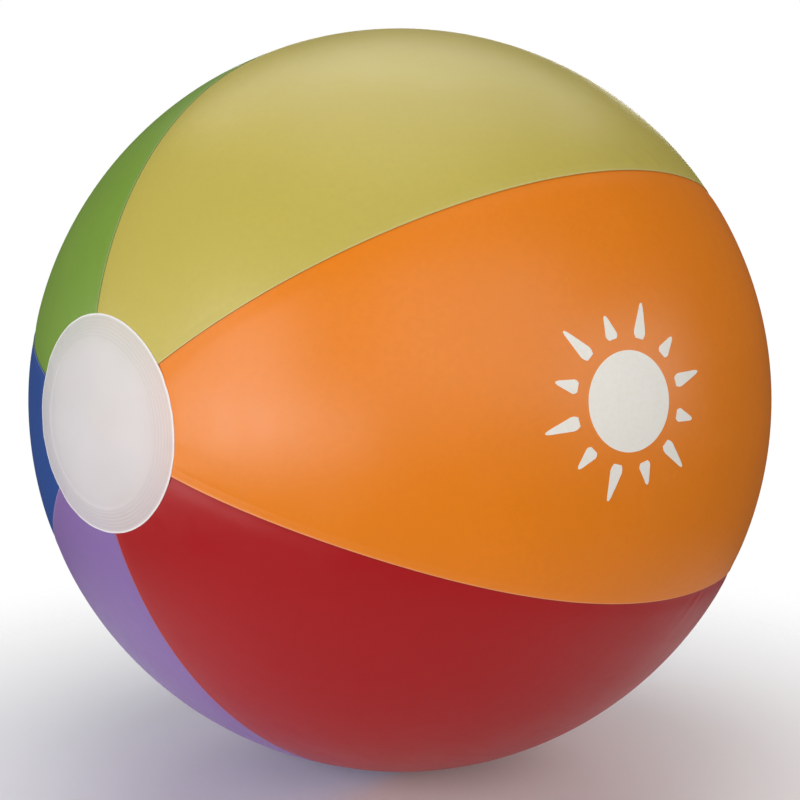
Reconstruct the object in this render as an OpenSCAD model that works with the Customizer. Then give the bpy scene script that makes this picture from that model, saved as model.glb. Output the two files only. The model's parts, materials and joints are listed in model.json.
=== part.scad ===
// Inflatable beach ball: six coloured film gores with lapped welds, two round end
// discs over the gore ends, and a push-in air valve in the middle of one disc.
// The frame has its origin at the ball's centre, +Z up. The axis through the two
// discs lies along Y: the plain disc faces -Y and the valve faces +Y.

/* [Ball] */
// Diameter of the inflated ball, over the gores
ball_d = 300; // [280:5:320]
// Thickness of the film
film_t = 0.25; // [0.2:0.05:0.5]
// Turn of the orange gore's middle from +X towards +Z, in degrees
gore_turn = 7; // [-30:1:30]
// Width of the margin that each gore tucks under the next one
lap_w = 4; // [3:0.5:6]

/* [End discs] */
// Diameter of each round end disc, measured along its surface
disc_d = 74; // [68:1:90]
// Width of the ring where a disc is welded over the gore ends
weld_w = 8; // [5:1:10]

/* [Valve] */
// Radius of the well that the valve is pushed into
well_r = 12.5; // [12.5:0.5:14]
// Radius of the flange that is welded inside the disc
flange_r = 21; // [18:0.5:23]
// Thickness of the flange
flange_t = 0.8; // [0.6:0.1:1.2]
// Radius of the air bore through the stem
bore_r = 3.2; // [3:0.1:3.4]
// Outer radius of the stem
stem_r = 5.6; // [5.4:0.1:6]
// Length of the stem
stem_l = 13.5; // [12:0.5:15]
// Depth that the skirt folds inwards when the valve is pushed in
skirt_depth = 7.5; // [7:0.5:8]

/* [Plug] */
// Radius of the plug's head
head_r = 6; // [5.5:0.25:6.5]
// Thickness of the plug's head
head_t = 1.8; // [1.4:0.1:2]
// Length of the plug's tapered nose
nose_l = 3.5; // [3:0.1:3.8]
// Distance from the valve's axis to the fold of the strap
fold_r = 9.5; // [9:0.25:10]

/* [Hidden] */
$fn = 120;

panels = 6;
panel_arc = 360 / panels;
// How far each weld strays from even spacing, in degrees: the weld at the far
// edge of the orange, yellow, green, blue, purple and red gore in turn.
weld_drift = [-3, -1.5, 1.5, 3, 1, -0.5];

// Depth that two welded films melt into each other.
weld_melt = 0.05;

// Extra length of a cutting shape past the face that it cuts.
cut_extra = 1;

ball_r = ball_d / 2;
disc_r = ball_r - weld_melt;
deg_per_mm = 180 / (PI * ball_r);
disc_angle = disc_d / 2 * deg_per_mm;
gore_end_angle = (disc_d / 2 - weld_w) * deg_per_mm;
well_angle = asin(well_r / ball_r);
flange_angle = asin(flange_r / ball_r);

// Heights along the valve's axis, from the ball's centre outwards.
part_gap = 0.1;
nose_gap = 0.2;
skirt_rim_drop = 0.2;
plug_top = ball_r;
head_z = plug_top - head_t;
mouth_z = head_z - part_gap;
nose_z = head_z - nose_l;
seat_z = nose_z - nose_gap;
stem_z = mouth_z - stem_l;
skirt_rim_z = (ball_r - flange_t / 2) * cos(well_angle) - skirt_rim_drop;
skirt_root_z = skirt_rim_z - skirt_depth;

// The nose and its seat are tapered, so that the plug swings out of the seat.
taper = 19;
seat_gap = 0.15;
seat_r = bore_r + (mouth_z - seat_z + cut_extra) * tan(taper);
nose_tip_r = bore_r + (nose_z - seat_z) * tan(taper) - seat_gap;
nose_root_r = bore_r + (head_z - seat_z) * tan(taper) - seat_gap;

// The skirt's rim lies just inside the well's wall.
skirt_t = 0.5;
skirt_rim_r = well_r - 0.3;

// Collar round the stem's mouth, and the lug on it that carries the strap's fold.
collar_r = stem_r + 0.6;
collar_h = 1.6;
lug_w = 5;
lug_h = 0.9;
lug_drop = 0.2;
lug_l = fold_r - 0.2;

// The strap runs from the lug's end to just inside the plug's head.
strap_w = 4;
strap_t = 0.8;
strap_lift = 0.6;
strap_far_r = fold_r - 0.4;
strap_near_r = head_r - 0.6;

// Pull tab on the plug's head, opposite the strap.
tab_w = 5;
tab_t = 1.1;
tab_lift = 0.3;
tab_end_r = 7.8;

flap_r = 4.6;
flap_t = 0.7;
flap_gap = 0.2;
flap_tongue_r = 5;
flap_tongue_w = 3;

function weld_at(i) = gore_turn + panel_arc * (i + 0.5) + weld_drift[(i + panels) % panels];

// Stands a shape modelled around +Z on the ball's axis, facing the plain disc.
module to_plain_end() {
    rotate([90, 0, 0]) children();
}

// Stands a shape modelled around +Z on the ball's axis, facing the valve.
// The shape's -Y side comes uppermost.
module to_valve_end() {
    rotate([-90, 0, 0]) children();
}

// Section of a spherical shell between two angles from the axis.
module shell_section(inner_r, outer_r, from_angle, to_angle) {
    far = 2 * outer_r;
    middle = (from_angle + to_angle) / 2;
    intersection() {
        difference() {
            circle(outer_r, $fn = 360);
            circle(inner_r, $fn = 360);
        }
        polygon([[0, 0],
                 far * [sin(from_angle), cos(from_angle)],
                 far * [sin(middle), cos(middle)],
                 far * [sin(to_angle), cos(to_angle)]]);
    }
}

// Cap or ring of a spherical shell around +Z.
module shell_ring(inner_r, outer_r, from_angle, to_angle) {
    rotate_extrude() shell_section(inner_r, outer_r, from_angle, to_angle);
}

// Slice of the ball's film between two turns about the axis, and from one end
// angle to the same angle at the other end.
module film_slice(outer_r, start, end, end_angle) {
    rotate([0, 0, start])
        rotate_extrude(angle = end - start)
            shell_section(outer_r - film_t, outer_r, end_angle, 180 - end_angle);
}

// One gore: its visible slice, and the margin under its far edge that goes
// beneath the next gore.
module gore(i) {
    end = weld_at(i);
    lap = lap_w * deg_per_mm;
    to_plain_end() {
        film_slice(ball_r, weld_at(i - 1), end, gore_end_angle);
        film_slice(ball_r - film_t + weld_melt, end - lap, end + lap, gore_end_angle + lap / 2);
    }
}

module panel_orange() {
    color("darkorange") gore(0);
}

module panel_yellow() {
    color("gold") gore(1);
}

module panel_green() {
    color("yellowgreen") gore(2);
}

module panel_blue() {
    color("royalblue") gore(3);
}

module panel_purple() {
    color("mediumpurple") gore(4);
}

module panel_red() {
    color("firebrick") gore(5);
}

// Round film disc welded over the gore ends.
module end_disc_plain() {
    color("whitesmoke")
        to_plain_end() shell_ring(disc_r, disc_r + film_t, 0, disc_angle);
}

// The same disc at the other end, with the valve's well cut through it.
module end_disc_valve() {
    color("whitesmoke")
        to_valve_end() shell_ring(disc_r, disc_r + film_t, well_angle, disc_angle);
}

// Ring of the valve moulding that is welded to the disc's inner face.
module valve_flange() {
    color("ghostwhite")
        to_valve_end() shell_ring(ball_r - flange_t, ball_r, well_angle, flange_angle);
}

// Thin conical wall that folds inwards when the valve is pushed in.
module valve_skirt() {
    color("ghostwhite")
        to_valve_end()
            rotate_extrude()
                polygon([[stem_r, skirt_root_z - skirt_t],
                         [skirt_rim_r, skirt_rim_z - skirt_t],
                         [skirt_rim_r, skirt_rim_z],
                         [stem_r, skirt_root_z]]);
}

// Tube with the air bore, its tapered seat for the plug, a collar round the
// mouth and a lug that carries the strap's fold.
module valve_stem() {
    collar_z = mouth_z - collar_h;
    lug_z = mouth_z - lug_drop - lug_h;
    color("ghostwhite")
        to_valve_end()
            difference() {
                union() {
                    translate([0, 0, stem_z]) cylinder(h = stem_l, r = stem_r);
                    translate([0, 0, collar_z]) cylinder(h = collar_h, r = collar_r);
                    translate([-lug_w / 2, -lug_l, lug_z]) cube([lug_w, lug_l, lug_h]);
                }
                translate([0, 0, stem_z - cut_extra]) cylinder(h = stem_l + 2 * cut_extra, r = bore_r);
                translate([0, 0, seat_z])
                    cylinder(h = mouth_z - seat_z + cut_extra, r1 = bore_r, r2 = seat_r);
            }
}

// Stopper: a flat head with a tapered nose below it and a tab to pull it by.
module valve_plug() {
    color("white")
        to_valve_end() {
            translate([0, 0, nose_z]) cylinder(h = nose_l, r1 = nose_tip_r, r2 = nose_root_r);
            translate([0, 0, head_z]) cylinder(h = head_t, r = head_r);
            translate([-tab_w / 2, 0, head_z + tab_lift]) cube([tab_w, tab_end_r, tab_t]);
            translate([0, tab_end_r, head_z + tab_lift]) cylinder(h = tab_t, r = tab_w / 2);
        }
}

// Strip that ties the plug's head to the stem's lug and folds like a hinge.
module plug_strap() {
    strap_z = mouth_z + strap_lift;
    color("white")
        to_valve_end()
            translate([-strap_w / 2, -strap_far_r, strap_z])
                cube([strap_w, strap_far_r - strap_near_r, strap_t]);
}

// Thin flap under the stem that closes the bore and swings into the ball.
module check_flap() {
    flap_z = stem_z - flap_gap - flap_t;
    color("whitesmoke")
        to_valve_end()
            translate([0, 0, flap_z]) {
                cylinder(h = flap_t, r = flap_r);
                translate([-flap_tongue_w / 2, -flap_tongue_r, 0])
                    cube([flap_tongue_w, flap_tongue_r, flap_t]);
            }
}

panel_orange();
panel_yellow();
panel_green();
panel_blue();
panel_purple();
panel_red();
end_disc_plain();
end_disc_valve();
valve_flange();
valve_skirt();
valve_stem();
valve_plug();
plug_strap();
check_flap();
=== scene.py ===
"""Looks of the inflatable beach ball: film gores, end discs, print and air valve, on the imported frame."""

import json
import math

import bmesh
import bpy
import numpy as np
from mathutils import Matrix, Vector


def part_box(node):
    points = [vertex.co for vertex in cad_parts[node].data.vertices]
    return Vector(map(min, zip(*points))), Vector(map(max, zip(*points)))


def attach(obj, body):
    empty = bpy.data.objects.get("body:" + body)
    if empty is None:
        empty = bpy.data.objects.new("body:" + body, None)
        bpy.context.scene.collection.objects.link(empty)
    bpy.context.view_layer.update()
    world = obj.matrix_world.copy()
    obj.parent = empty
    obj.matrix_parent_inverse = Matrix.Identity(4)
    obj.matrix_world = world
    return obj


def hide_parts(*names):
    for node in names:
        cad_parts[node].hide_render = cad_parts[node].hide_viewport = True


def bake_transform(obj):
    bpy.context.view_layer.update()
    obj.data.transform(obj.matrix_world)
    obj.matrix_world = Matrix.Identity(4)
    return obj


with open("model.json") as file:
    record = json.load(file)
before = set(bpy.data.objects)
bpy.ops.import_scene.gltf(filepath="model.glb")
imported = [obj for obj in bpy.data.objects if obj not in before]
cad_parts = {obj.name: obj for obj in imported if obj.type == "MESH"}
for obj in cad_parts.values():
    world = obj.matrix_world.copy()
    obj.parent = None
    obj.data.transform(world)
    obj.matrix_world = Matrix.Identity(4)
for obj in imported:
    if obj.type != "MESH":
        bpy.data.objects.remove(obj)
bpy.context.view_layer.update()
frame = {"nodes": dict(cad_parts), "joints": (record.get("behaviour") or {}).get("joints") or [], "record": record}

MM = 0.001
SEED = 16


# ---------------------------------------------------------------- sizes from the frame

GORES = ["orange", "yellow", "green", "blue", "purple", "red"]
FILM_T = 0.25 * MM
DISC_STEP = 0.2 * MM  # a disc's face stands this far above the gores' faces

disc_low, disc_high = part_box("end_disc_plain")
BALL_R = -disc_low.y - DISC_STEP
DISC_ANGLE = math.asin(disc_high.x / (BALL_R + DISC_STEP))
DISC_ARC = BALL_R * DISC_ANGLE  # from the pole to the disc's edge, along the surface
WELD_BAND = 8 * MM
GORE_END = (DISC_ARC - WELD_BAND) / BALL_R
FLANGE_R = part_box("valve_flange")[1].x
WELL_R = 12.5 * MM

JOINTS = {j["name"]: j for j in frame["joints"]}


def wrap(turn):
    """The same turn, between -half and +half a circle."""
    return (turn + math.pi) % (2 * math.pi) - math.pi


def gore_span(color):
    """First and last turn about the ball's axis of a gore's visible film."""
    skin = [v.co for v in frame["nodes"][f"panel_{color}"].data.vertices
            if v.co.length > BALL_R - FILM_T / 4]
    middle = sum(skin, Vector())
    centre = math.atan2(middle.z, middle.x)
    turns = [centre + wrap(math.atan2(p.z, p.x) - centre) for p in skin]
    return min(turns), max(turns)


SPANS = [gore_span(c) for c in GORES]


# ---------------------------------------------------------------- the film's surface

# Where a seam leaves its true meridian over a stretch, because film is cut flat and welds are
# fed by hand: the gore that starts at the seam, then the angle from the plain disc's pole, the
# stretch's half-length and the turn that the seam gains there, all in degrees.
SEAM_PULLS = [(0, 30, 28, 1.6), (0, 116, 14, -2.5), (1, 116, 14, 2.0), (3, 34, 13, 0.8), (4, 34, 13, -1.4)]

FINE_WRINKLES, DEEP_WRINKLES = 34, 4  # along each seam
WRINKLES_FROM_DISC = 4 * MM
SEAM_DIP, SEAM_DIP_WIDTH = 0.16 * MM, 7 * MM  # each weld holds the film in a little
STIFF_FROM, STIFF_TO = 0.5 * MM, 3.5 * MM  # wrinkles start across this strip beside the weld
PUCKER_START, PUCKER_FADE = 6 * MM, 7 * MM  # inside a disc's edge, and outside it


def smooth(x, low, high):
    """Rises softly from 0 at low to 1 at high."""
    t = np.clip((x - low) / (high - low), 0, 1)
    return t * t * (3 - 2 * t)


def bump_at(x, centre, width):
    """A bell of height 1 round centre."""
    return np.exp(-((x - centre) / width) ** 2)


def sway(k, angle):
    """Extra turn of the seam at the start of gore k, at an angle from the plain disc's pole."""
    gained = np.zeros_like(angle)
    for gore_number, place, reach, gain in SEAM_PULLS:
        if gore_number == k % len(GORES):
            gained = gained + gain * bump_at(np.degrees(angle), place, reach)
    return np.radians(gained)


def seam_wrinkles(k):
    """Short creases that run off seam k, where flat-cut film is gathered by the weld."""
    rng = np.random.default_rng(SEED + k)
    low = DISC_ARC + WRINKLES_FROM_DISC
    high = BALL_R * math.pi - low
    wrinkles = []
    for _ in range(FINE_WRINKLES):
        wrinkles.append(dict(at=rng.uniform(low, high), wave=rng.uniform(6, 13) * MM,
                             high=rng.uniform(0.01, 0.035) * MM, reach=rng.uniform(5, 14) * MM,
                             side=rng.choice([-1, 1]), slant=rng.uniform(-0.5, 0.5)))
    # a few deeper ones gather just past the widest part of the ball
    middle = BALL_R * math.pi / 2
    for _ in range(DEEP_WRINKLES):
        wrinkles.append(dict(at=middle + rng.uniform(0, 40) * MM, wave=rng.uniform(7, 11) * MM,
                             high=rng.uniform(0.08, 0.14) * MM, reach=rng.uniform(7, 12) * MM,
                             side=rng.choice([-1, 1]), slant=rng.uniform(-0.7, 0.7)))
    return wrinkles


WRINKLES = [seam_wrinkles(k) for k in range(len(GORES))]
# Gathers in the yellow film beside the orange gore, and one in the red film on its other side.
WRINKLES[1] += [dict(at=218 * MM, wave=11 * MM, high=0.26 * MM, reach=9 * MM, side=1, slant=-0.9),
                dict(at=231 * MM, wave=8 * MM, high=0.2 * MM, reach=7 * MM, side=1, slant=-0.5),
                dict(at=249 * MM, wave=9 * MM, high=0.16 * MM, reach=8 * MM, side=1, slant=0.4)]
WRINKLES[0] += [dict(at=257 * MM, wave=9 * MM, high=0.22 * MM, reach=6 * MM, side=-1, slant=0.8)]
# Slow swells of the film: half-waves along, waves round, height in mm and phase.
SWELLS = [(2, 3, 0.06, 0.8), (3, 5, 0.05, 2.2), (5, 2, 0.04, 4.0)]
# Puckers round each disc: waves round, height in mm and phase.
RING_PUCKERS = [(17, 0.035, 0.4), (26, 0.03, 1.9), (37, 0.02, 4.1)]


def swell(angle, turn):
    """How far the inflated film stands off a true sphere, without the welds' own steps."""
    along = BALL_R * angle
    ring = BALL_R * np.sin(angle)
    out = np.zeros_like(along)
    for waves_along, waves_round, height, phase in SWELLS:
        wave = np.sin(waves_along * angle + phase) * np.cos(waves_round * turn + phase)
        out += height * MM * wave * np.sin(angle)
    for k, (start, _) in enumerate(SPANS):
        across = ring * wrap(turn - start - sway(k, angle))
        out -= SEAM_DIP * bump_at(across, 0, SEAM_DIP_WIDTH)
        stiff = smooth(np.abs(across), STIFF_FROM, STIFF_TO)
        for w in WRINKLES[k]:
            beside = np.clip(across * w["side"], 0, None)
            place = along - w["at"] - w["slant"] * beside
            crease = np.cos(2 * math.pi * place / w["wave"]) * bump_at(place, 0, 0.8 * w["wave"])
            out += w["high"] * crease * np.exp(-beside / w["reach"]) * stiff * (across * w["side"] > 0)
    for pole_along in (along, BALL_R * math.pi - along):
        off = np.clip(pole_along - DISC_ARC, 0, None)
        fade = np.exp(-off / PUCKER_FADE) * smooth(pole_along, DISC_ARC - PUCKER_START, DISC_ARC)
        for waves, height, phase in RING_PUCKERS:
            out += height * MM * np.cos(waves * turn + phase) * fade
    return out


def on_ball(angle, turn, radius):
    """Points at an angle from the plain disc's pole and a turn about the ball's axis."""
    ring = radius * np.sin(angle)
    return np.stack([ring * np.cos(turn), -radius * np.cos(angle), ring * np.sin(turn)], axis=-1)


# ---------------------------------------------------------------- mesh helpers

def mesh_object(name, points, faces, material, smooth_angle=38):
    """A smooth-shaded object, with a sharp edge wherever faces meet at more than the angle."""
    mesh = bpy.data.meshes.new(name)
    mesh.from_pydata([tuple(p) for p in points], [], faces)
    mesh.validate()
    mesh.shade_smooth()
    mesh.set_sharp_from_angle(angle=math.radians(smooth_angle))
    mesh.materials.append(material)
    piece = bpy.data.objects.new(name, mesh)
    bpy.context.scene.collection.objects.link(piece)
    return piece


def set_attribute(piece, name, values):
    """Gives each vertex a number that a material reads by name."""
    attribute = piece.data.attributes.new(name, "FLOAT", "POINT")
    attribute.data.foreach_set("value", np.asarray(values, np.float32).ravel())


def set_tint(piece, name, colors):
    """Gives each vertex a colour that a material reads by name."""
    attribute = piece.data.attributes.new(name, "FLOAT_COLOR", "POINT")
    rgba = np.concatenate([colors, np.ones((len(colors), 1))], axis=1)
    attribute.data.foreach_set("color", rgba.astype(np.float32).ravel())


def film_faces(rows, columns, ring):
    """Faces of a closed film: a grid of outer points, the same grid inside, and the cut edges.
    The outer points come first. ring says that the last column joins the first."""
    count = rows * columns
    faces = []
    steps = columns if ring else columns - 1
    for i in range(rows - 1):
        for j in range(steps):
            k = (j + 1) % columns
            a, b, c, d = i * columns + j, i * columns + k, (i + 1) * columns + k, (i + 1) * columns + j
            faces.append((a, b, c, d))
            faces.append((d + count, c + count, b + count, a + count))
    for j in range(steps):
        k = (j + 1) % columns
        a, b = j, k
        c, d = (rows - 1) * columns + j, (rows - 1) * columns + k
        faces.append((b, a, a + count, b + count))
        faces.append((c, d, d + count, c + count))
    if not ring:
        for i in range(rows - 1):
            a, b = i * columns, (i + 1) * columns
            c, d = a + columns - 1, b + columns - 1
            faces.append((a, b, b + count, a + count))
            faces.append((d, c, c + count, d + count))
    return faces


# ---------------------------------------------------------------- materials

def new_material(name):
    material = bpy.data.materials.new(name)
    material.use_nodes = True
    return material, material.node_tree, material.node_tree.nodes["Principled BSDF"]


def node(tree, kind, inputs=None, **settings):
    made = tree.nodes.new(kind)
    for key, value in settings.items():
        setattr(made, key, value)
    for key, value in (inputs or {}).items():
        made.inputs[key].default_value = value
    return made


def noise(tree, scale, detail=3, roughness=0.5, stretch=(1, 1, 1)):
    """Noise fixed to the object; scale is in waves per metre."""
    place = node(tree, "ShaderNodeTexCoord")
    mapping = node(tree, "ShaderNodeMapping", {"Scale": stretch})
    made = node(tree, "ShaderNodeTexNoise", {"Scale": scale, "Detail": detail, "Roughness": roughness})
    tree.links.new(place.outputs["Object"], mapping.inputs["Vector"])
    tree.links.new(mapping.outputs["Vector"], made.inputs["Vector"])
    return made.outputs["Fac"]


def spread(tree, value, low, high, to_low, to_high):
    """value from low..high mapped to to_low..to_high."""
    made = node(tree, "ShaderNodeMapRange", {"From Min": low, "From Max": high,
                                             "To Min": to_low, "To Max": to_high})
    tree.links.new(value, made.inputs["Value"])
    return made.outputs["Result"]


def mix(tree, factor, first, second):
    """Mixes two colours; each is a colour or a socket, and factor is a number or a socket."""
    made = node(tree, "ShaderNodeMix", data_type="RGBA")
    sockets = made.inputs["Factor"], made.inputs[6], made.inputs[7]
    for socket, value in zip(sockets, (factor, first, second)):
        if isinstance(value, bpy.types.NodeSocket):
            tree.links.new(value, socket)
        else:
            socket.default_value = value
    return made.outputs[2]


def math_node(tree, operation, first, second):
    made = node(tree, "ShaderNodeMath", operation=operation)
    for socket, value in zip(made.inputs, (first, second)):
        if isinstance(value, bpy.types.NodeSocket):
            tree.links.new(value, socket)
        else:
            socket.default_value = value
    return made.outputs[0]


def attribute(tree, name, output="Fac"):
    return node(tree, "ShaderNodeAttribute", attribute_name=name).outputs[output]


def bumps(tree, shader, layers):
    """Chains bump nodes into the shader's normal; each layer is (height socket, strength, distance)."""
    last = None
    for height, strength, distance in layers:
        made = node(tree, "ShaderNodeBump", {"Strength": strength, "Distance": distance})
        tree.links.new(height, made.inputs["Height"])
        if last is not None:
            tree.links.new(last, made.inputs["Normal"])
        last = made.outputs["Normal"]
    tree.links.new(last, shader.inputs["Normal"])


def scaled(color, factor):
    """A colour made lighter or darker, as RGBA."""
    return (*(min(1.0, c * factor) for c in color), 1)


FILM_IOR, VALVE_IOR = 1.5, 1.52
PRESSED_AND_HIGHLIGHT_GREY = 0.9  # the pale grey that film turns a little towards where the weld squeezed it, and towards which each cut edge gets a painted highlight


def film_material(name, color):
    """Satin-gloss calendered vinyl: faint grain, slow colour drift, scuffs, a slight paling where the welds
    squeezed it, a painted highlight along each cut edge and painted shade in the crease beside a lapped edge.
    """
    material, tree, shader = new_material(name)
    drift = spread(tree, noise(tree, 14, 2), 0.3, 0.7, 0, 1)
    base = mix(tree, drift, scaled(color, 0.965), scaled(color, 1.035))
    mottle = spread(tree, noise(tree, 420, 4, 0.6), 0.35, 0.65, 0, 0.5)
    base = mix(tree, mottle, base, scaled(color, 0.95))
    # Painted highlight: each cut edge is paled towards grey where the edge would catch the light; over the weld
    # the film also pales a little for real, where the weld squeezed it.
    pale = [0.86 * c + 0.14 * PRESSED_AND_HIGHLIGHT_GREY for c in color]
    base = mix(tree, attribute(tree, "pressed_and_edge_highlight"), base, scaled(pale, 1))
    # Painted shade: darker in the crease beside the next gore's lapped edge.
    base = mix(tree, attribute(tree, "crease"), base, scaled(color, 0.5))
    tree.links.new(base, shader.inputs["Base Color"])
    haze = spread(tree, noise(tree, 35, 4, 0.6), 0.3, 0.7, 0.34, 0.4)
    scuffs = spread(tree, noise(tree, 160, 5, 0.7, (1, 0.12, 0.5)), 0.5, 0.8, 0, 0.07)
    rough = math_node(tree, "ADD", haze, scuffs)
    rough = math_node(tree, "ADD", rough, math_node(tree, "MULTIPLY", attribute(tree, "pressed_and_edge_highlight"), 0.1))
    tree.links.new(rough, shader.inputs["Roughness"])
    shader.inputs["IOR"].default_value = FILM_IOR
    bumps(tree, shader, [(noise(tree, 45, 1, 0.4), 0.10, 0.0006), (noise(tree, 900, 3, 0.55), 0.05, 0.0002)])
    return material


def disc_material(name, color):
    """White vinyl tinted a little by the coloured film behind it, partly real and partly painted glow of coloured
    light from inside the ball; with painted shade in its weld grooves and a painted highlight at its cut edge.
    """
    material, tree, shader = new_material(name)
    drift = spread(tree, noise(tree, 40, 3), 0.3, 0.7, 0, 1)
    base = mix(tree, drift, scaled(color, 0.97), scaled(color, 1.02))
    # Coloured tint: real where the gores lie under the weld, painted glow of coloured light from inside the ball
    # further in.
    base = mix(tree, attribute(tree, "show_through"), base, attribute(tree, "behind", "Color"))
    # Painted shade in the grooves of the welding ring.
    base = mix(tree, attribute(tree, "crease"), base, scaled(color, 0.75))
    # Painted highlight: the disc's cut edge paled towards near-white.
    base = mix(tree, attribute(tree, "rim"), base, (0.95, 0.93, 0.92, 1))
    tree.links.new(base, shader.inputs["Base Color"])
    tree.links.new(spread(tree, noise(tree, 60, 4, 0.6), 0.3, 0.7, 0.36, 0.46), shader.inputs["Roughness"])
    shader.inputs["IOR"].default_value = FILM_IOR
    bumps(tree, shader, [(noise(tree, 70, 3), 0.14, 0.0006), (noise(tree, 800, 3, 0.55), 0.08, 0.0002)])
    return material


def valve_material(name, color, rough=0.38, clear=0.0):
    """Soft moulded vinyl, milky, with a faint mould texture."""
    material, tree, shader = new_material(name)
    drift = spread(tree, noise(tree, 300, 3), 0.3, 0.7, 0, 1)
    base = mix(tree, drift, scaled(color, 0.95), scaled(color, 1.03))
    tree.links.new(base, shader.inputs["Base Color"])
    tree.links.new(spread(tree, noise(tree, 500, 4), 0.3, 0.7, rough - 0.05, rough + 0.06),
                   shader.inputs["Roughness"])
    shader.inputs["IOR"].default_value = VALVE_IOR
    shader.inputs["Transmission Weight"].default_value = clear
    bumps(tree, shader, [(noise(tree, 1500, 3), 0.1, 0.0001)])
    return material


def ink_material(name, color):
    """Screen-printed ink: even, a little matt, faintly thin in places."""
    material, tree, shader = new_material(name)
    thin = spread(tree, noise(tree, 700, 4, 0.65), 0.45, 0.75, 0, 0.35)
    base = mix(tree, thin, scaled(color, 1.0), (color[0] * 0.95, color[1] * 0.84, color[2] * 0.7, 1))
    tree.links.new(base, shader.inputs["Base Color"])
    tree.links.new(spread(tree, noise(tree, 220, 3), 0.3, 0.7, 0.42, 0.52), shader.inputs["Roughness"])
    bumps(tree, shader, [(noise(tree, 1800, 3), 0.12, 0.0001)])
    return material


def milky(color, share):
    """A colour paled by the white filler in the film."""
    return [c + share * (1 - c) for c in color]


SLOT_COLORS = {m["slot"]: m["base_color"][:3] for m in frame["record"]["materials"]}
FILLER = {"purple": 0.05}
FILM = {c: film_material(f"film_{c}", milky(SLOT_COLORS[f"film_{c}"], FILLER.get(c, 0))) for c in GORES}
WHITE = disc_material("film_white", SLOT_COLORS["film_white"])
VALVE = valve_material("valve_vinyl", SLOT_COLORS["valve_vinyl"])
FLAP = valve_material("flap_film", SLOT_COLORS["flap_film"], 0.25, 0.5)
INK = ink_material("print_ink", SLOT_COLORS["print_ink"])


# ---------------------------------------------------------------- gores

# Places of the columns of points across a gore, in mm: in from its near edge, in from its far
# seam, and out past that seam on the tucked margin. The middle has columns evenly spread.
NEAR_EDGE = [0, 0.12, 0.25, 0.4, 0.55, 0.75, 1.0, 1.4, 2.0, 2.6, 3.0, 3.4, 4.2, 5.5, 7, 8.5, 10, 12]
NEAR_SEAM = [0, 0.12, 0.25, 0.4, 0.6, 0.85, 1.2, 1.6, 2.2, 3.0, 4.2, 5.5, 7, 8.5, 10, 12]
TUCKED = [0.5, 1.2, 2.4, 4.0]
MIDDLE_COLUMNS = 36
ROW_STEP = 1.25 * MM

UNDER_DISC_DROP = 0.08 * MM
EDGE_BEAD, EDGE_BEAD_AT, EDGE_BEAD_WIDTH = 0.05 * MM, 0.3 * MM, 0.22 * MM
WELD_GROOVE, WELD_GROOVE_AT, WELD_GROOVE_WIDTH = 0.03 * MM, 3.0 * MM, 0.45 * MM
LAP_CLEAR, LAP_SLOPE_FROM, LAP_SLOPE_TO = 0.03 * MM, -0.6 * MM, 6 * MM


def gore(k):
    """One gore: closed film from disc to disc, its near edge on top, its far margin under the next gore."""
    start, end = SPANS[k]
    rows = int(BALL_R * (math.pi - 2 * GORE_END) / ROW_STEP)
    angle = np.linspace(GORE_END, math.pi - GORE_END, rows)[:, None]
    ring = BALL_R * np.sin(angle)
    first, last = start + sway(k, angle), end + sway(k + 1, angle)
    width = ring * (last - first)
    near = np.array(NEAR_EDGE) * MM
    far = np.array(NEAR_SEAM) * MM
    share = np.linspace(0, 1, MIDDLE_COLUMNS + 2)[1:-1]
    across = np.concatenate([
        np.broadcast_to(near, (rows, len(near))),
        near[-1] + share * (width - near[-1] - far[-1]),
        width - far[::-1],
        width + np.array(TUCKED) * MM,
    ], axis=1)
    turn = first + across / ring
    angle = np.broadcast_to(angle, turn.shape)
    from_seam = width - across
    from_pole = BALL_R * np.minimum(angle, math.pi - angle)
    under_disc = 1 - smooth(from_pole, DISC_ARC - 1.5 * MM, DISC_ARC + 1.5 * MM)
    height = swell(angle, turn) - UNDER_DISC_DROP * under_disc
    height += EDGE_BEAD * bump_at(across, EDGE_BEAD_AT, EDGE_BEAD_WIDTH) * (1 - under_disc)
    height -= WELD_GROOVE * bump_at(across, WELD_GROOVE_AT, WELD_GROOVE_WIDTH)
    height -= (FILM_T + LAP_CLEAR) * (1 - smooth(from_seam, LAP_SLOPE_FROM, LAP_SLOPE_TO))
    outer = on_ball(angle, turn, BALL_R + height).reshape(-1, 3)
    inner = on_ball(angle, turn, BALL_R + height - FILM_T).reshape(-1, 3)
    columns = across.shape[1]
    piece = mesh_object(f"film_gore_{GORES[k]}", np.concatenate([outer, inner]),
                        film_faces(rows, columns, False), FILM[GORES[k]])
    # Painted highlight along this gore's cut edge, and a slight real paling over its weld.
    cut_edge_highlight = 1 - smooth(across, 0.3 * MM, 0.6 * MM)
    weld = 1 - smooth(across, 2.6 * MM, 3.4 * MM)
    pressed_and_edge_highlight = 0.7 * cut_edge_highlight + 0.06 * weld
    # Painted shade in the crease under the next gore's lapped edge.
    crease = 0.5 * (1 - smooth(from_seam, 0, 0.7 * MM))
    set_attribute(piece, "pressed_and_edge_highlight", np.tile(np.clip(pressed_and_edge_highlight, 0, 1).ravel(), 2))
    set_attribute(piece, "crease", np.tile(crease.ravel(), 2))
    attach(piece, "ball")
    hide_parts(f"panel_{GORES[k]}")


for k in range(len(GORES)):
    gore(k)


# ---------------------------------------------------------------- end discs

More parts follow.
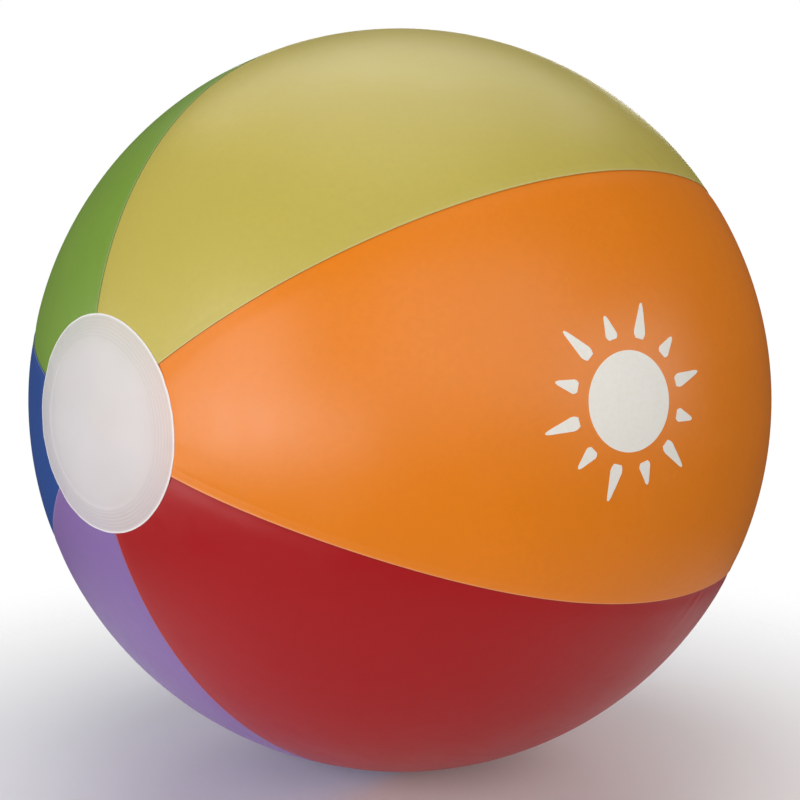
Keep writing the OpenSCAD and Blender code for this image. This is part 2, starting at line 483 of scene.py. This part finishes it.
WELD_RINGS = [1.5, 2.7, 3.9, 5.1, 6.3, 7.5]  # grooves of the welding ring, in from the disc's edge, mm
DISC_TURNS = 240
FINE_STEP, BROAD_ROWS = 0.2 * MM, 26  # rows of points over the weld, and inside it
SUNK = 0.12 * MM  # the film inside the weld stands lower than the weld
BEAD, BEAD_AT, BEAD_WIDTH = 0.06 * MM, 0.3 * MM, 0.25 * MM
GROOVE, GROOVE_WIDTH = 0.045 * MM, 0.35 * MM
RIPPLE = 0.06 * MM
# A disc comes out a little oval and off centre when its film is welded on and the ball is blown up.
OVAL, OVAL_TURN, OFF_CENTRE = 1.5 * MM, math.radians(-19), 0.8 * MM


def behind_color(turn, blur):
    """Colour of the gores behind a disc at each turn, blurred where two meet."""
    total = np.zeros((len(turn), 3))
    weight = np.zeros((len(turn), 1))
    for color, (start, end) in zip(GORES, SPANS):
        middle, half = (start + end) / 2, (end - start) / 2
        near = 1 / (1 + np.exp((np.abs(wrap(turn - middle)) - half) / blur))
        total += near[:, None] * np.array(SLOT_COLORS[f"film_{color}"])
        weight += near[:, None]
    return total / weight


def end_disc(name, cad_node, facing, inner_arc, inner_rings):
    """A round disc over the gore ends. facing is -1 for the plain end and +1 for the valve's
    end, and each of inner_rings is the arc from the pole and the height in mm of a raised ring."""
    fine = np.arange(0, WELD_BAND + 2.5 * MM, FINE_STEP)
    broad = np.linspace(WELD_BAND + 2.7 * MM, DISC_ARC - inner_arc, BROAD_ROWS)
    inwards = np.concatenate([fine, broad]) if inner_arc else np.concatenate([fine, broad[:-1]])
    arc = DISC_ARC - inwards
    rows = len(arc)
    turn = np.broadcast_to(np.linspace(0, 2 * math.pi, DISC_TURNS, endpoint=False), (rows, DISC_TURNS))
    stretch = OVAL * np.cos(2 * (turn - OVAL_TURN)) - OFF_CENTRE * np.cos(turn)
    arc = arc[:, None] + stretch * smooth(arc, inner_arc + 2 * MM, DISC_ARC)[:, None]
    pole_angle = arc / BALL_R
    angle = pole_angle if facing < 0 else math.pi - pole_angle
    inwards = np.broadcast_to(inwards[:, None], turn.shape)
    half_way = 0.5 * DISC_ANGLE
    gore_swell = swell(np.clip(angle, half_way, math.pi - half_way), turn)
    height = DISC_STEP + gore_swell * smooth(pole_angle, half_way, DISC_ANGLE)
    inside = smooth(inwards, WELD_BAND - 0.6 * MM, WELD_BAND + 1.6 * MM)
    if inner_arc:
        # the valve's flange keeps the film over it flat
        inside = inside * smooth(DISC_ARC - inwards, FLANGE_R + 0.5 * MM, FLANGE_R + 4 * MM)
    height = height - SUNK * inside
    height += BEAD * bump_at(inwards, BEAD_AT, BEAD_WIDTH)
    for groove in WELD_RINGS:
        height -= GROOVE * bump_at(inwards, groove * MM, GROOVE_WIDTH)
    for ring_arc, lift in inner_rings:
        height += lift * MM * bump_at(DISC_ARC - inwards, ring_arc, 0.5 * MM)
    x, z = arc * np.cos(turn), arc * np.sin(turn)
    ripple = np.sin(x / (9 * MM) + 1.2) * np.cos(z / (11 * MM)) + np.sin((x + z) / (17 * MM))
    height += RIPPLE * ripple * inside
    outer = on_ball(angle, turn, BALL_R + height).reshape(-1, 3)
    inner = on_ball(angle, turn, BALL_R + height - FILM_T).reshape(-1, 3)
    faces = film_faces(rows, DISC_TURNS, True)
    points = np.concatenate([outer, inner])
    if not inner_arc:
        faces, points = close_middle(faces, points, rows, height[-1].mean())
    if facing > 0:
        faces = [face[::-1] for face in faces]
    piece = mesh_object(name, points, faces, WHITE)
    extra = len(points) - 2 * outer.shape[0]
    # Coloured tint: real where the gores lie under the weld, painted glow of coloured light from inside the ball
    # out to 15 mm and faintly over the whole disc.
    show = 0.16 * (1 - smooth(inwards, 0, 15 * MM)) + 0.03
    # Painted shade in the grooves of the welding ring.
    crease = 0.3 * np.maximum.reduce([bump_at(inwards, g * MM, 0.3 * MM) for g in WELD_RINGS])
    # Painted highlight: the disc's cut edge paled towards near-white.
    rim = 0.8 * (1 - smooth(inwards, 0.35 * MM, 0.75 * MM))
    colors = behind_color(turn.ravel(), 0.12)
    set_attribute(piece, "show_through", np.concatenate([np.tile(show.ravel(), 2), np.zeros(extra)]))
    set_attribute(piece, "crease", np.concatenate([np.tile(crease.ravel(), 2), np.zeros(extra)]))
    set_attribute(piece, "rim", np.concatenate([np.tile(rim.ravel(), 2), np.zeros(extra)]))
    set_tint(piece, "behind", np.concatenate([np.tile(colors, (2, 1)), np.zeros((extra, 3))]))
    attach(piece, "ball")
    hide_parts(cad_node)


def close_middle(faces, points, rows, height):
    """Fills the hole left round the pole of a plain disc, outside and inside."""
    count = rows * DISC_TURNS
    last = (rows - 1) * DISC_TURNS
    hole = [(last + j, last + (j + 1) % DISC_TURNS) for j in range(DISC_TURNS)]
    wall = {tuple(sorted((a, b, a + count, b + count))) for a, b in hole}
    kept = [face for face in faces if tuple(sorted(face)) not in wall]
    poles = [(0, -(BALL_R + height), 0), (0, -(BALL_R + height - FILM_T), 0)]
    for a, b in hole:
        kept.append((a, b, 2 * count))
        kept.append((b + count, a + count, 2 * count + 1))
    return kept, np.concatenate([points, poles])


end_disc("disc_plain", "end_disc_plain", -1, 0, [])
end_disc("disc_valve", "end_disc_valve", 1, BALL_R * math.asin(WELL_R / BALL_R),
         [(BALL_R * math.asin(FLANGE_R / BALL_R), -0.06), (WELL_R + 1.2 * MM, 0.1)])


# ---------------------------------------------------------------- print on the orange gore

PRINT_ANGLE, PRINT_TURN = math.radians(69), math.radians(3.6)
SUN_R, RAY_FROM, RAY_TO, RAYS = 15.5 * MM, 19.5 * MM, 31 * MM, 12
SHORT_RAY = 4 * MM  # every other ray is shorter by this
INK_T, INK_LIFT, INK_SINK = 0.06 * MM, 0.03 * MM, 0.05 * MM


def printed(x, y):
    """Angles and turns of the print's plan laid on the film: x runs round the ball, y along its axis."""
    reach = np.hypot(x, y) / BALL_R
    bearing = np.arctan2(x, y)
    centre = on_ball(np.array(PRINT_ANGLE), np.array(PRINT_TURN), 1.0)
    up = on_ball(np.array(PRINT_ANGLE - math.pi / 2), np.array(PRINT_TURN), 1.0)
    side = np.cross(up, centre)
    point = np.cos(reach)[:, None] * centre + np.sin(reach)[:, None] * (
        np.cos(bearing)[:, None] * up + np.sin(bearing)[:, None] * side)
    angle = np.arccos(np.clip(-point[:, 1], -1, 1))
    turn = np.arctan2(point[:, 2], point[:, 0])
    return angle, turn


def sun_plan():
    """Plan of a plain sun: a disc and separate rays, as grids of small quads."""
    points, faces = [(0.0, 0.0)], []
    rings, round_ = 10, 72
    for i in range(1, rings + 1):
        for j in range(round_):
            t = 2 * math.pi * j / round_
            points.append((SUN_R * i / rings * math.cos(t), SUN_R * i / rings * math.sin(t)))
    for j in range(round_):
        faces.append((0, 1 + j, 1 + (j + 1) % round_))
        for i in range(rings - 1):
            a, b = 1 + i * round_ + j, 1 + i * round_ + (j + 1) % round_
            faces.append((a, a + round_, b + round_, b))
    for ray in range(RAYS):
        t = 2 * math.pi * (ray + 0.5) / RAYS
        along, beside = (math.cos(t), math.sin(t)), (-math.sin(t), math.cos(t))
        reach = RAY_TO if ray % 2 else RAY_TO - SHORT_RAY
        steps, first = 10, len(points)
        for i in range(steps + 1):
            s = i / steps
            r = RAY_FROM + s * (reach - RAY_FROM)
            half = (2.6 * (1 - s) + 0.5 * s) * MM * min(1, 0.55 + 3 * s, 0.55 + 6 * (1 - s))
            for w in (-1, -0.5, 0, 0.5, 1):
                points.append((r * along[0] + w * half * beside[0], r * along[1] + w * half * beside[1]))
        for i in range(steps):
            for j in range(4):
                a = first + i * 5 + j
                faces.append((a, a + 5, a + 6, a + 1))
    return np.array(points), faces


def sun_print():
    """The print as a thin layer of ink, closed at its rim."""
    plan, faces = sun_plan()
    angle, turn = printed(plan[:, 0], plan[:, 1])
    radius = BALL_R + swell(angle, turn) + INK_LIFT
    top = on_ball(angle, turn, radius + INK_T)
    under = on_ball(angle, turn, radius - INK_SINK)
    count = len(plan)
    edges = {}
    for face in faces:
        for a, b in zip(face, face[1:] + face[:1]):
            edges[(a, b)] = edges.get((a, b), 0) + 1
    rim = [(a, b) for a, b in edges if (b, a) not in edges]
    solid = list(faces) + [tuple(i + count for i in face[::-1]) for face in faces]
    solid += [(b, a, a + count, b + count) for a, b in rim]
    piece = mesh_object("print_sun", np.concatenate([top, under]), solid, INK, 60)
    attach(piece, "ball")


sun_print()


# ---------------------------------------------------------------- valve

stem_low, stem_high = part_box("valve_stem")
plug_low, plug_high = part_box("valve_plug")
skirt_low, skirt_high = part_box("valve_skirt")
strap_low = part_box("plug_strap")[0]
PLUG_PIVOT = Vector(JOINTS["plug_hinge"]["pos_m"])
BORE_R = 3.2 * MM
HEAD_R = plug_high.x
HEAD_T = 1.8 * MM
COLLAR_R = stem_high.x
COLLAR_H = 1.6 * MM
STEM_R = COLLAR_R - 0.6 * MM
SKIRT_T = 0.5 * MM
SEAT_TAPER = math.tan(math.radians(19))
NOSE_GAP, TAPER_GAP = 0.2 * MM, 0.13 * MM  # between the plug's nose and its seat, below and beside

# Lug: its foot and top are down from the stem's mouth.
LUG_HALF_W, LUG_FOOT, LUG_TOP, LUG_EDGE = 2.4 * MM, 1.1 * MM, 0.25 * MM, 0.22 * MM
# Pull tab: its foot and top are up from the underside of the plug's head.
TAB_HALF_W, TAB_FOOT, TAB_TOP, TAB_EDGE = 2.5 * MM, 0.35 * MM, 1.35 * MM, 0.28 * MM
RIBS, RIB_FROM_TIP, RIB_STEP = 3, 1.1 * MM, 1.0 * MM
RIB_HALF_W, RIB_HALF_L, RIB_H, RIB_EDGE, RIB_SINK = 0.17 * MM, 1.5 * MM, 0.3 * MM, 0.08 * MM, 0.05 * MM
# Strap: half its width and thickness, and the radius of its fold.
STRAP_HALF_W, STRAP_HALF_T, STRAP_FOLD = 1.9 * MM, 0.3 * MM, 0.62 * MM
TONGUE_HALF_W, FLAP_GAP, FLAP_EDGE = 1.5 * MM, 0.05 * MM, 0.15 * MM


def rounded(corners, radii, steps=5):
    """A closed outline with each corner turned into an arc of about its radius."""
    outline = []
    count = len(corners)
    for i, radius in enumerate(radii):
        here = Vector(corners[i])
        before, after = Vector(corners[i - 1]) - here, Vector(corners[(i + 1) % count]) - here
        if radius == 0:
            outline.append(here)
            continue
        cut = min(radius, 0.45 * before.length, 0.45 * after.length)
        a, b = here + before.normalized() * cut, here + after.normalized() * cut
        for j in range(steps + 1):
            t = j / steps
            outline.append(a * (1 - t) ** 2 + here * 2 * t * (1 - t) + b * t ** 2)
    return outline


def lathe(name, outline, material, turns=96, wobble=None):
    """Turns a closed outline of (radius, y) points about the ball's axis."""
    points, faces = [], []
    count = len(outline)
    for j in range(turns):
        t = 2 * math.pi * j / turns
        for p in outline:
            r, y = wobble(p[0], p[1], t) if wobble else p
            points.append((r * math.cos(t), y, r * math.sin(t)))
    for j in range(turns):
        k = (j + 1) % turns
        for i in range(count):
            n = (i + 1) % count
            faces.append((j * count + i, j * count + n, k * count + n, k * count + i))
    piece = mesh_object(name, points, faces, material, 50)
    face_outwards(piece)
    return piece


def face_outwards(piece):
    """Makes every face of a closed mesh look outwards, and closes points that fell together."""
    work = bmesh.new()
    work.from_mesh(piece.data)
    bmesh.ops.remove_doubles(work, verts=work.verts, dist=1e-6)
    bmesh.ops.recalc_face_normals(work, faces=work.faces)
    work.to_mesh(piece.data)
    work.free()


def slab(name, outline, low_y, high_y, edge, material):
    """A soft-edged slab between two heights, from a closed outline of (x, z) points."""
    work = bmesh.new()
    verts = [work.verts.new((x, low_y, z)) for x, z in outline]
    face = work.faces.new(verts)
    made = bmesh.ops.extrude_face_region(work, geom=[face])
    moved = [v for v in made["geom"] if isinstance(v, bmesh.types.BMVert)]
    bmesh.ops.translate(work, verts=moved, vec=(0, high_y - low_y, 0))
    bmesh.ops.recalc_face_normals(work, faces=work.faces)
    rim = [e for e in work.edges if len(e.link_faces) == 2 and e.calc_face_angle(0) > math.radians(60)]
    bmesh.ops.bevel(work, geom=rim, offset=edge, segments=3, profile=0.5, affect="EDGES")
    mesh = bpy.data.meshes.new(name)
    work.to_mesh(mesh)
    work.free()
    mesh.shade_smooth()
    mesh.set_sharp_from_angle(angle=math.radians(50))
    mesh.materials.append(material)
    piece = bpy.data.objects.new(name, mesh)
    bpy.context.scene.collection.objects.link(piece)
    return piece


def finger(half_width, root, tip, steps=10):
    """Outline of a strip from z = root to a half-round end at z = tip."""
    way = 1 if tip > root else -1
    centre = tip - way * half_width
    outline = [(-half_width, root)]
    for i in range(steps + 1):
        t = math.pi * i / steps
        outline.append((-half_width * math.cos(t), centre + way * half_width * math.sin(t)))
    outline.append((half_width, root))
    return outline


def valve_stem():
    """Stem with its collar, air bore and tapered seat, and the lug that holds the strap."""
    mouth, foot = stem_high.y, stem_low.y
    seat_foot = plug_low.y - NOSE_GAP
    seat_r = BORE_R + (mouth - seat_foot) * SEAT_TAPER
    corners = [(BORE_R, foot), (STEM_R, foot), (STEM_R, mouth - COLLAR_H), (COLLAR_R, mouth - COLLAR_H),
               (COLLAR_R, mouth), (seat_r, mouth), (BORE_R, seat_foot)]
    radii = [0.25 * MM, 0.4 * MM, 0.35 * MM, 0.3 * MM, 0.35 * MM, 0.15 * MM, 0.4 * MM]
    tube = lathe("valve_stem_tube", rounded(corners, radii), VALVE)
    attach(tube, "valve")
    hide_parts("valve_stem")
    outline = finger(LUG_HALF_W, COLLAR_R - 1.2 * MM, stem_high.z)
    lug = slab("valve_stem_lug", outline, mouth - LUG_FOOT, mouth - LUG_TOP, LUG_EDGE, VALVE)
    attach(lug, "valve")


def valve_plug():
    """Stopper with a dished head, a tapered hollow nose and a ribbed tab to pull it by."""
    top, under, tip = plug_high.y, plug_high.y - HEAD_T, plug_low.y
    nose_r = BORE_R + (under - tip) * SEAT_TAPER - TAPER_GAP
    hollow_r, hollow_y = 1.9 * MM, tip + 2.2 * MM
    dish_r, dish_y = HEAD_R - 1.7 * MM, top - 0.35 * MM
    corners = [(0, hollow_y), (hollow_r, hollow_y), (hollow_r + 0.3 * MM, tip), (BORE_R - 0.15 * MM, tip),
               (nose_r, under), (HEAD_R, under), (HEAD_R, top), (dish_r + 0.4 * MM, top),
               (dish_r, dish_y), (0, dish_y)]
    radii = [0, 0.3 * MM, 0.2 * MM, 0.35 * MM, 0.3 * MM, 0.45 * MM, 0.6 * MM, 0.3 * MM, 0.25 * MM, 0]
    stopper = lathe("valve_plug_head", rounded(corners, radii), VALVE)
    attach(stopper, "plug")
    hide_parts("valve_plug")
    outline = finger(TAB_HALF_W, -HEAD_R + 1.6 * MM, plug_low.z)
    tab = slab("valve_plug_tab", outline, under + TAB_FOOT, under + TAB_TOP, TAB_EDGE, VALVE)
    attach(tab, "plug")
    outline = finger(RIB_HALF_W, -RIB_HALF_L, RIB_HALF_L)
    for i in range(RIBS):
        z = plug_low.z + RIB_FROM_TIP + i * RIB_STEP
        rib = slab(f"valve_plug_rib_{i + 1}", outline, 0, RIB_H, RIB_EDGE, VALVE)
        for v in rib.data.vertices:
            v.co = Vector((v.co.z, v.co.y + under + TAB_TOP - RIB_SINK, z + v.co.x))
        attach(rib, "plug")


def plug_strap():
    """Thin strap that loops from the stem's lug over to the plug's head, folded round the hinge's pivot."""
    half_w, half_t, loop = STRAP_HALF_W, STRAP_HALF_T, STRAP_FOLD
    pivot_y, pivot_z = PLUG_PIVOT.y, PLUG_PIVOT.z
    lug_steps, arc_steps, head_steps = 4, 16, 8
    path = [(pivot_z - 1.6 * MM + 0.4 * MM * i, pivot_y - loop) for i in range(lug_steps)]
    for i in range(arc_steps + 1):
        t = math.pi * i / arc_steps
        path.append((pivot_z + loop * math.sin(t), pivot_y - loop * math.cos(t)))
    run = pivot_z - (strap_low.z - 0.4 * MM)
    path += [(pivot_z - run * (i + 1) / head_steps, pivot_y + loop) for i in range(head_steps)]
    section = rounded([(-half_w, -half_t), (half_w, -half_t), (half_w, half_t), (-half_w, half_t)],
                      [0.22 * MM] * 4, 3)
    points, faces = [], []
    for i, here in enumerate(path):
        before, after = path[max(i - 1, 0)], path[min(i + 1, len(path) - 1)]
        along = (Vector(after) - Vector(before)).normalized()
        normal = Vector((along.y, -along.x))
        for across, out in section:
            points.append((across, here[1] + out * normal.y, here[0] + out * normal.x))
    count = len(section)
    for i in range(len(path) - 1):
        for j in range(count):
            k = (j + 1) % count
            faces.append((i * count + j, i * count + k, (i + 1) * count + k, (i + 1) * count + j))
    faces.append(tuple(range(count)))
    faces.append(tuple(reversed(range((len(path) - 1) * count, len(path) * count))))
    strap = mesh_object("plug_strap_loop", points, faces, VALVE, 60)
    face_outwards(strap)
    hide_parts("plug_strap")
    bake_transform(strap)


def valve_skirt():
    """Thin cone round the stem, built in one shape; the real one turns inside out as the valve is pushed in or
    pulled out.
    """
    rim_y, rim_r = skirt_high.y, skirt_high.x
    root_y = skirt_low.y + SKIRT_T
    steps = 14
    upper = [(rim_r + 0.5 * MM, rim_y + 0.1 * MM)]
    for i in range(steps + 1):
        t = i / steps
        sag = 0.35 * MM * math.sin(math.pi * t) + 0.12 * MM * math.sin(4 * math.pi * t)
        upper.append((rim_r + (STEM_R - 0.3 * MM - rim_r) * t, rim_y + (root_y - rim_y) * t + sag))
    lower = [(r, y - SKIRT_T) for r, y in reversed(upper)]
    skirt = lathe("valve_skirt_cone", rounded(upper + lower, [0] * (2 * len(upper))), VALVE)
    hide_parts("valve_skirt")
    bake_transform(skirt)


def check_flap():
    """Soft flap under the stem, with the tongue that it bends on."""
    low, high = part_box("check_flap")
    round_ = 48
    reach = high.z
    flap_r = high.x
    outline = []
    for i in range(round_):
        t = 2 * math.pi * i / round_ + math.pi / 2
        x, z = flap_r * math.cos(t), flap_r * math.sin(t)
        if z > 0 and abs(x) < TONGUE_HALF_W:
            z = reach
        outline.append((x, z))
    flap = slab("check_flap_disc", outline, low.y + FLAP_GAP, high.y - FLAP_GAP, FLAP_EDGE, FLAP)
    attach(flap, "flap")
    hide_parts("check_flap")


valve_stem()
valve_plug()
plug_strap()
valve_skirt()
check_flap()
flange = frame["nodes"]["valve_flange"]
flange.data.materials.clear()
flange.data.materials.append(VALVE)


# ---------------------------------------------------------------- camera, floor and light

CAMERA_AZIMUTH, CAMERA_ELEVATION = math.radians(41.2), math.radians(3.96)
CAMERA_DISTANCE = 3 * BALL_R
BALL_SHARE = 0.4648  # the ball's radius in the picture, as a share of the picture's width
FLOOR_R, FLOOR_FADE = 0.38, 0.1  # the floor's radius, and the radius where it starts to fade
LIGHT_DISTANCE = 1.3
ROOM = 0.06  # brightness of the surroundings in light and reflections


def direction(azimuth, elevation):
    """Unit vector towards an azimuth and elevation in radians. Azimuth 0 is the -Y side, and it
    grows towards +X."""
    flat = math.cos(elevation)
    return Vector((math.sin(azimuth) * flat, -math.cos(azimuth) * flat, math.sin(elevation)))


def make_camera():
    """Camera that frames the ball as the photo does."""
    data = bpy.data.cameras.new("camera")
    camera = bpy.data.objects.new("camera", data)
    bpy.context.scene.collection.objects.link(camera)
    camera.location = direction(CAMERA_AZIMUTH, CAMERA_ELEVATION) * CAMERA_DISTANCE
    camera.rotation_euler = (-camera.location).to_track_quat("-Z", "Y").to_euler()
    data.sensor_width = 36
    tangent = BALL_R / math.sqrt(CAMERA_DISTANCE ** 2 - BALL_R ** 2)
    data.lens = data.sensor_width * BALL_SHARE / tangent
    data.clip_start = 0.01
    bpy.context.scene.camera = camera


def area_light(name, azimuth, elevation, width, height, power):
    """A soft box aimed at the ball: azimuth and elevation in degrees, size in metres, power in watts."""
    data = bpy.data.lights.new(name, "AREA")
    data.shape = "RECTANGLE"
    data.size, data.size_y, data.energy = width, height, power
    light = bpy.data.objects.new(name, data)
    bpy.context.scene.collection.objects.link(light)
    light.location = direction(math.radians(azimuth), math.radians(elevation)) * LIGHT_DISTANCE
    light.rotation_euler = (-light.location).to_track_quat("-Z", "Y").to_euler()


def make_floor():
    """A pale round floor that fades into the pale surroundings."""
    material, tree, shader = new_material("floor_pale")
    shader.inputs["Roughness"].default_value = 0.85
    tone = spread(tree, noise(tree, 3, 2), 0.3, 0.7, 0, 1)
    base = mix(tree, tone, (0.88, 0.88, 0.88, 1), (0.92, 0.92, 0.92, 1))
    tree.links.new(base, shader.inputs["Base Color"])
    tree.links.new(attribute(tree, "solid"), shader.inputs["Alpha"])
    rings, round_ = 40, 96
    radii = [FLOOR_R * (i + 1) / rings for i in range(rings)]
    points = [(0, 0, -BALL_R)]
    points += [(r * math.cos(2 * math.pi * j / round_), r * math.sin(2 * math.pi * j / round_), -BALL_R)
               for r in radii for j in range(round_)]
    faces = []
    for j in range(round_):
        k = (j + 1) % round_
        faces.append((0, 1 + j, 1 + k))
        for i in range(rings - 1):
            faces.append((1 + i * round_ + j, 1 + (i + 1) * round_ + j,
                          1 + (i + 1) * round_ + k, 1 + i * round_ + k))
    floor = mesh_object("floor", points, faces, material)
    fade = 1 - smooth(np.repeat(radii, round_), FLOOR_FADE, FLOOR_R)
    set_attribute(floor, "solid", np.concatenate([[1], fade]))


def make_world():
    """White surroundings to the camera, and a dimmer room in light and reflections."""
    world = bpy.data.worlds.new("studio")
    bpy.context.scene.world = world
    world.use_nodes = True
    tree = world.node_tree
    background = tree.nodes["Background"]
    path = node(tree, "ShaderNodeLightPath")
    strength = node(tree, "ShaderNodeMapRange", {"To Min": ROOM, "To Max": 1.0})
    tree.links.new(path.outputs["Is Camera Ray"], strength.inputs["Value"])
    tree.links.new(strength.outputs["Result"], background.inputs["Strength"])
    background.inputs["Color"].default_value = (1, 1, 1, 1)


make_camera()
make_floor()
make_world()
area_light("key_left", -2, 11, 0.7, 0.8, 5.3)
area_light("front_right", 62, 20, 1.3, 1.0, 5.9)
area_light("front_low", 5, -4, 1.4, 0.3, 5.6)
area_light("right_side", 105, 8, 0.8, 0.5, 3.6)
area_light("left_fill", -42, 0, 1.0, 0.9, 2.2)
area_light("top", 0, 88, 1.0, 1.0, 4.0)
area_light("top_back", 222, 66, 1.8, 0.6, 4.4)
area_light("back_fill", 216, 12, 0.9, 0.7, 9.0)
bpy.context.scene.view_settings.view_transform = "Standard"
